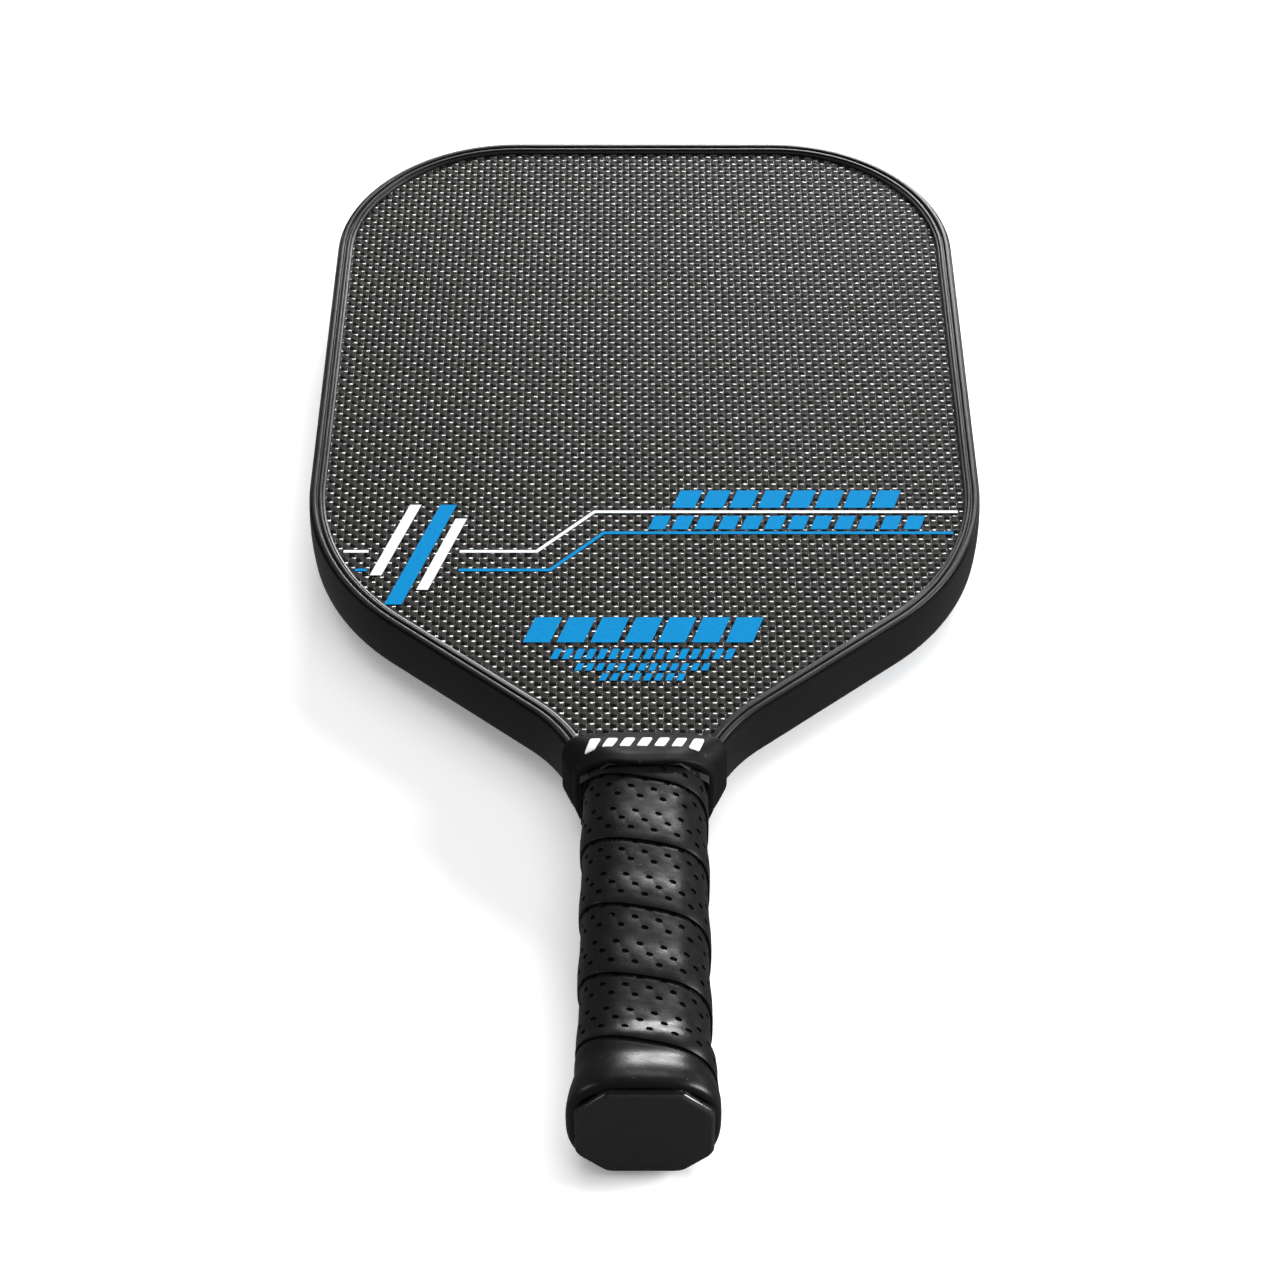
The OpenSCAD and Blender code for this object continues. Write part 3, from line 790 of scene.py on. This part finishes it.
s_flat = i_grid * cell + du
y_top = seam(s_flat)
y_next = seam(s_flat + around)
y_flat = y_top - (j_grid * cell + dv) * (y_top - y_next) / turn_drop
v = across + dv
lift = np.full(v.shape, -tuck_depth)
for rise, start, stop in strip_rises:
    lift += rise * smooth_step(start, stop, v)
for fall, start, stop in lap_falls:
    lift -= fall * smooth_step(width - start, width - stop, v)
lift += cushion_wave * np.sin(s_flat / 4.3 + v / 2.9) * np.sin(s_flat / 11.7 - v / 5.1)
lift += (butt_wrinkle * (1 - smooth_step(12, 24, y_flat)) * np.sin(y_flat / 1.15 + s_flat / 19)
         * (0.6 + 0.4 * np.sin(s_flat / 6.1)))
to_edge = np.clip((trim_low + trim_curl - y_flat) / trim_curl, 0, 1)
lift -= trim_fall * (1 - np.sqrt(1 - to_edge**2))
lift -= dimple
y_held = np.clip(y_flat, trim_low, trim_high)
inner_lift = np.minimum(lift - 0.3, -strip_t - 0.1 * smooth_step(2, 6, v))


def on_handle(s, y, out):
    """The place at length s round the handle and height y, that far out from the wrap."""
    s = np.mod(s, around)
    total = out + flare(y)
    x = np.interp(s, handle_lengths, handle_points[:, 0])
    z = np.interp(s, handle_lengths, handle_points[:, 1])
    away_x = np.interp(s, handle_lengths, handle_away[:, 0])
    away_z = np.interp(s, handle_lengths, handle_away[:, 1])
    return np.stack([x + away_x * total, y, z + away_z * total], -1)


y_inner = np.clip(y_top - j_grid * cell * (y_top - y_next) / turn_drop, trim_low, trim_high)
outer = on_handle(s_flat, y_held, lift)
inner = on_handle(i_grid * cell, y_inner, inner_lift)
number = np.arange(i_grid.size).reshape(i_grid.shape)
corners = np.stack([number[:-1, :-1], number[:-1, 1:], number[1:, 1:], number[1:, :-1]], -1)
flat_y = y_flat.ravel()[corners]
kept = (flat_y > trim_low + 1e-6).any(-1) & (flat_y < trim_high - 1e-6).any(-1)
quads = corners[kept]
offset = i_grid.size
sides = {}
for k in range(4):
    for a, b in zip(quads[:, k].tolist(), quads[:, (k + 1) % 4].tolist()):
        if (b, a) in sides:
            del sides[(b, a)]
        else:
            sides[(a, b)] = True
rim_faces = [(b, a, a + offset, b + offset) for a, b in sides]
all_faces = [*quads.tolist(), *(quads[:, ::-1] + offset).tolist(), *rim_faces]
strip_points = np.concatenate([outer.reshape(-1, 3), inner.reshape(-1, 3)])
used, place = np.unique(np.concatenate([np.ravel(f) for f in all_faces]), return_inverse=True)
place = iter(place.tolist())
strip = mesh_piece("grip_strip", strip_points[used],
                   [[next(place) for _ in face] for face in all_faces], crease=60)
flags = np.zeros(len(all_faces), bool)
flags[:len(quads)] = punched.ravel()[quads].any(-1)
mark = strip.data.attributes.new("punched", "BOOLEAN", "FACE")
mark.data.foreach_set("value", flags)

leather, tree, shader = finish("grip_black_leather", (0.004, 0.004, 0.0042), 0.33,
                               Specular_IOR_Level=0.34)
creases = grain(tree, 260, detail=4.0)
pores = wire(tree, "ShaderNodeTexVoronoi",
             Vector=wire(tree, "ShaderNodeTexCoord").outputs["Object"], Scale=2600)
dust = grain(tree, 900, detail=8.0)
tint(tree, shader, dust, (0.68, 0.004, 0.004, 0.0042), (0.76, 0.06, 0.057, 0.054))
polish(tree, shader, creases, 0.29, 0.38)
relief(tree, shader, pores.outputs["Distance"], 0.012, relief(tree, shader, creases, 0.06))

hole_dark, tree, shader = finish("grip_hole_wall", (0.004, 0.004, 0.004), 0.85,
                                 Specular_IOR_Level=0.1)
tint(tree, shader, grain(tree, 2000), (0.3, 0.002, 0.002, 0.002), (0.7, 0.006, 0.006, 0.006))

tree, start, ids = new_tree("grip_punch", {"Depth": "Float", "Leather": "Material",
                                           "Hole": "Material"})
where = wire(tree, "GeometryNodeInputNamedAttribute", {"data_type": "BOOLEAN"}, Name="punched")
pushed = wire(tree, "GeometryNodeExtrudeMesh", {"mode": "FACES"},
              Mesh=start.outputs["Geometry"], Selection=where.outputs[0],
              Offset_Scale=start.outputs["Depth"], Individual=False)
dark = wire(tree, "FunctionNodeBooleanMath", {"operation": "OR"}, at0=pushed.outputs["Top"],
            at1=pushed.outputs["Side"])
whole = wire(tree, "GeometryNodeRealizeInstances", Geometry=pushed.outputs["Mesh"])
coated = wire(tree, "GeometryNodeSetMaterial", Geometry=whole.outputs[0],
              Material=start.outputs["Leather"])
holed = wire(tree, "GeometryNodeSetMaterial", Geometry=coated.outputs[0],
             Selection=dark.outputs[0], Material=start.outputs["Hole"])
wire(tree, "NodeGroupOutput", Geometry=holed.outputs[0])
grow(strip, tree, ids, {"Depth": -hole_depth * MM, "Leather": leather, "Hole": hole_dark},
     crease=60)
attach(strip, "root")
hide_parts("grip_wrap")

# ---- Butt cap ----------------------------------------------------------------------------
# A matte black moulded cap closes the end of the handle. Its flat face is an octagon with
# softly rounded edges, and its skirt runs up under the wrap.
cap_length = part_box("butt_cap")[1].y / MM
corner_cut = 7.87
wrap_t = 2.0
cap_corner = (wrap_half + wrap_depth - corner_cut) / math.sqrt(2) - wrap_t
bare_depth = wrap_depth - wrap_t
corner_soft = 1.6
# The cap's outside from its face to the skirt, and its hollow: (height, distance out)
cap_profile = (
    (0, 0.95), (0.04, 1.2), (0.15, 1.42), (0.75, 1.85), (0.95, 1.95), (1.3, 2.06), (1.7, 2.1),
    (2.2, 2.06), (2.7, 1.93), (3.2, 1.7), (9, 1.6), (cap_length, 0.5), (cap_length, 0.06),
    (2.5, 0.06))


def octagon_ring(y, out):
    """The bare handle's octagon grown by out, with soft corners, at that height."""
    w, d = handle_half + out, bare_depth + out
    c = w + d - (cap_corner + out) * math.sqrt(2)
    corners = [(w, c - d), (w, d - c), (w - c, d), (c - w, d),
               (-w, d - c), (-w, c - d), (c - w, -d), (w - c, -d)]
    flat = rounded([(x, z, corner_soft) for x, z in corners], steps=4)
    return np.column_stack([flat[:, 0], np.full(len(flat), y), flat[:, 1]])


cap = loft("butt_cap_moulding", [octagon_ring(y, out) for y, out in cap_profile], crease=50)
cap_black, tree, shader = finish("cap_matte_black", (0.014, 0.014, 0.014), 0.5,
                                 Specular_IOR_Level=0.25)
sparks = grain(tree, 2400, detail=2.0)
tint(tree, shader, sparks, (0.35, 0.011, 0.011, 0.011), (0.7, 0.022, 0.0217, 0.0213))
polish(tree, shader, grain(tree, 90), 0.55, 0.68)
relief(tree, shader, sparks, 0.02)
cap.data.materials.append(cap_black)

# The sides, picked by the way each face points, get a glossy black that is darker than the face's:
# the gloss is their smooth finish, the darker colour is painted shade.
cap_side, tree, shader = finish("cap_smooth_side", (0.004, 0.004, 0.004), 0.2,
                                Specular_IOR_Level=0.45)
polish(tree, shader, grain(tree, 300), 0.16, 0.24)
tint(tree, shader, grain(tree, 900), (0.3, 0.003, 0.003, 0.003), (0.7, 0.006, 0.006, 0.006))
cap.data.materials.append(cap_side)
for face in cap.data.polygons:
    faces_aside = face.normal.y > -0.4
    face.material_index = int(faces_aside)
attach(cap, "root")
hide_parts("butt_cap")

# ---- Core, bond films and edge tape ------------------------------------------------------
# The blade's inside: a white polypropylene honeycomb between two cured adhesive films, with
# grey double-sided tape round its edge.
core_finish, tree, shader = finish("honeycomb_polypropylene", (0.78, 0.78, 0.74), 0.45,
                                   Subsurface_Weight=0.1)
tint(tree, shader, grain(tree, 120), (0.3, 0.7, 0.7, 0.65), (0.7, 0.84, 0.84, 0.8))
relief(tree, shader, grain(tree, 800), 0.05)
dress("honeycomb_core", core_finish)

film_finish, tree, shader = finish("cured_bond_film", (0.6, 0.5, 0.26), 0.35)
tint(tree, shader, grain(tree, 70), (0.3, 0.5, 0.4, 0.19), (0.7, 0.68, 0.58, 0.33))
relief(tree, shader, grain(tree, 500), 0.04)
dress("front_bond_film", film_finish)
dress("back_bond_film", film_finish)

tape_finish, tree, shader = finish("edge_bond_tape", (0.1, 0.1, 0.1), 0.7)
tint(tree, shader, grain(tree, 900, (1, 1, 0.1)), (0.3, 0.07, 0.07, 0.07),
     (0.7, 0.15, 0.15, 0.15))
relief(tree, shader, grain(tree, 1400), 0.03)
dress("edge_tape", tape_finish)

# ---- Handle pallets and staples ----------------------------------------------------------
# Two blocks of light wood are bonded to the blade's tongue, and two galvanised staples hold
# the butt cap to them.
pallet_wood, tree, shader = finish("pallet_light_wood", (0.5, 0.34, 0.18), 0.6)
long_grain = grain(tree, 160, (1, 0.06, 1), detail=6.0)
tint(tree, shader, long_grain, (0.3, 0.38, 0.24, 0.12), (0.5, 0.52, 0.36, 0.2),
     (0.75, 0.62, 0.46, 0.28))
relief(tree, shader, long_grain, 0.1)
dress("front_handle_pallet", pallet_wood)
dress("back_handle_pallet", pallet_wood)

wire_steel, tree, shader = finish("staple_galvanised_wire", (0.55, 0.56, 0.57), 0.35, Metallic=1)
polish(tree, shader, grain(tree, 1500), 0.25, 0.5)
tint(tree, shader, grain(tree, 400), (0.3, 0.42, 0.43, 0.44), (0.7, 0.62, 0.63, 0.65))
dress("butt_cap_staples", wire_steel)

# ---- Under the wrap ----------------------------------------------------------------------
# The strip's own adhesive and felt backing, and the vinyl tape that finishes its upper end.
glue, tree, shader = finish("grip_backing_adhesive", (0.68, 0.62, 0.45), 0.3)
tint(tree, shader, grain(tree, 300), (0.3, 0.6, 0.53, 0.36), (0.7, 0.75, 0.7, 0.54))
relief(tree, shader, grain(tree, 900), 0.05)

felt, tree, shader = finish("grip_backing_felt", (0.03, 0.03, 0.03), 0.95, Sheen_Weight=0.3)
tint(tree, shader, grain(tree, 1600, detail=6.0), (0.3, 0.02, 0.02, 0.02),
     (0.7, 0.05, 0.05, 0.05))
relief(tree, shader, grain(tree, 2500, detail=6.0), 0.12)

under_steps = 72
level_count = 56
under_turn = np.linspace(0, around, under_steps + 1)[:-1]
under_levels = np.linspace(trim_low + 1.2, trim_high - 0.5, level_count)
for name, node, material, high, low in (("felt_backing", "grip_felt", felt, -1.2, -1.6),
                                        ("adhesive_film", "grip_adhesive", glue, -1.62, -1.72)):
    places = [(y, high) for y in under_levels] + [(y, low) for y in under_levels[::-1]]
    rings = [on_handle(under_turn, np.full(len(under_turn), y), out) for y, out in places]
    layer = loft(name, [ring[::-1] for ring in rings], closed=True)
    layer.data.materials.append(material)
    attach(layer, "root")
    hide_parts(node)

vinyl, tree, shader = finish("finishing_tape_vinyl", (0.016, 0.016, 0.016), 0.35)
polish(tree, shader, grain(tree, 200), 0.25, 0.45)
tint(tree, shader, grain(tree, 80), (0.3, 0.012, 0.012, 0.012), (0.7, 0.022, 0.022, 0.022))
dress("finishing_tape", vinyl)

# ---- Floor and light ---------------------------------------------------------------------
# A plain pale floor that glows a little, a soft box low behind the tip, a broad fill above and
# weaker boxes at the sides.
floor_half = 8000
floor_gap = 0.2
floor_z = cad_low.z / MM - floor_gap
floor_corners = [(floor_half * x, floor_half * y, floor_z)
                 for x, y in ((-1, -1), (1, -1), (1, 1), (-1, 1))]
floor = mesh_piece("floor", floor_corners, [(0, 1, 2, 3)])
pale, tree, shader = finish("pale_floor", (0.9, 0.9, 0.9), 0.9, Specular_IOR_Level=0.0,
                            Emission_Color=(1, 1, 1, 1), Emission_Strength=0.22)
tint(tree, shader, grain(tree, 6), (0.3, 0.94, 0.94, 0.94), (0.7, 0.96, 0.96, 0.96))
floor.data.materials.append(pale)
floor.visible_glossy = False


def soft_box(name, place, aim, width, height, power, glossy=True):
    """A rectangular soft light at a place in metres, turned towards its aim."""
    lamp = bpy.data.lights.new(name, "AREA")
    lamp.shape = "RECTANGLE"
    lamp.size = width
    lamp.size_y = height
    lamp.energy = power
    light = bpy.data.objects.new(name, lamp)
    light.location = place
    to_aim = Vector(aim) - Vector(place)
    light.rotation_euler = to_aim.to_track_quat("-Z", "Y").to_euler()
    light.visible_glossy = glossy
    bpy.context.scene.collection.objects.link(light)


soft_box("back_box", (0.7, 4.0, 1.9), (0, 0.2, 0), 1.9, 0.42, 200)
soft_box("top_fill", (0, 0.1, 4.0), (0, 0.1, 0), 4.0, 4.0, 120, glossy=False)
soft_box("left_box", (-3.0, 0.4, 1.3), (0, 0.15, 0), 0.5, 1.6, 12)
soft_box("right_box", (3.0, 0.4, 1.3), (0, 0.15, 0), 0.7, 1.8, 130)

world = bpy.data.worlds.new("studio")
world.use_nodes = True
world.node_tree.nodes["Background"].inputs["Color"].default_value = (1, 1, 1, 1)
world.node_tree.nodes["Background"].inputs["Strength"].default_value = 0.12
bpy.context.scene.world = world
bpy.context.scene.view_settings.view_transform = "Standard"
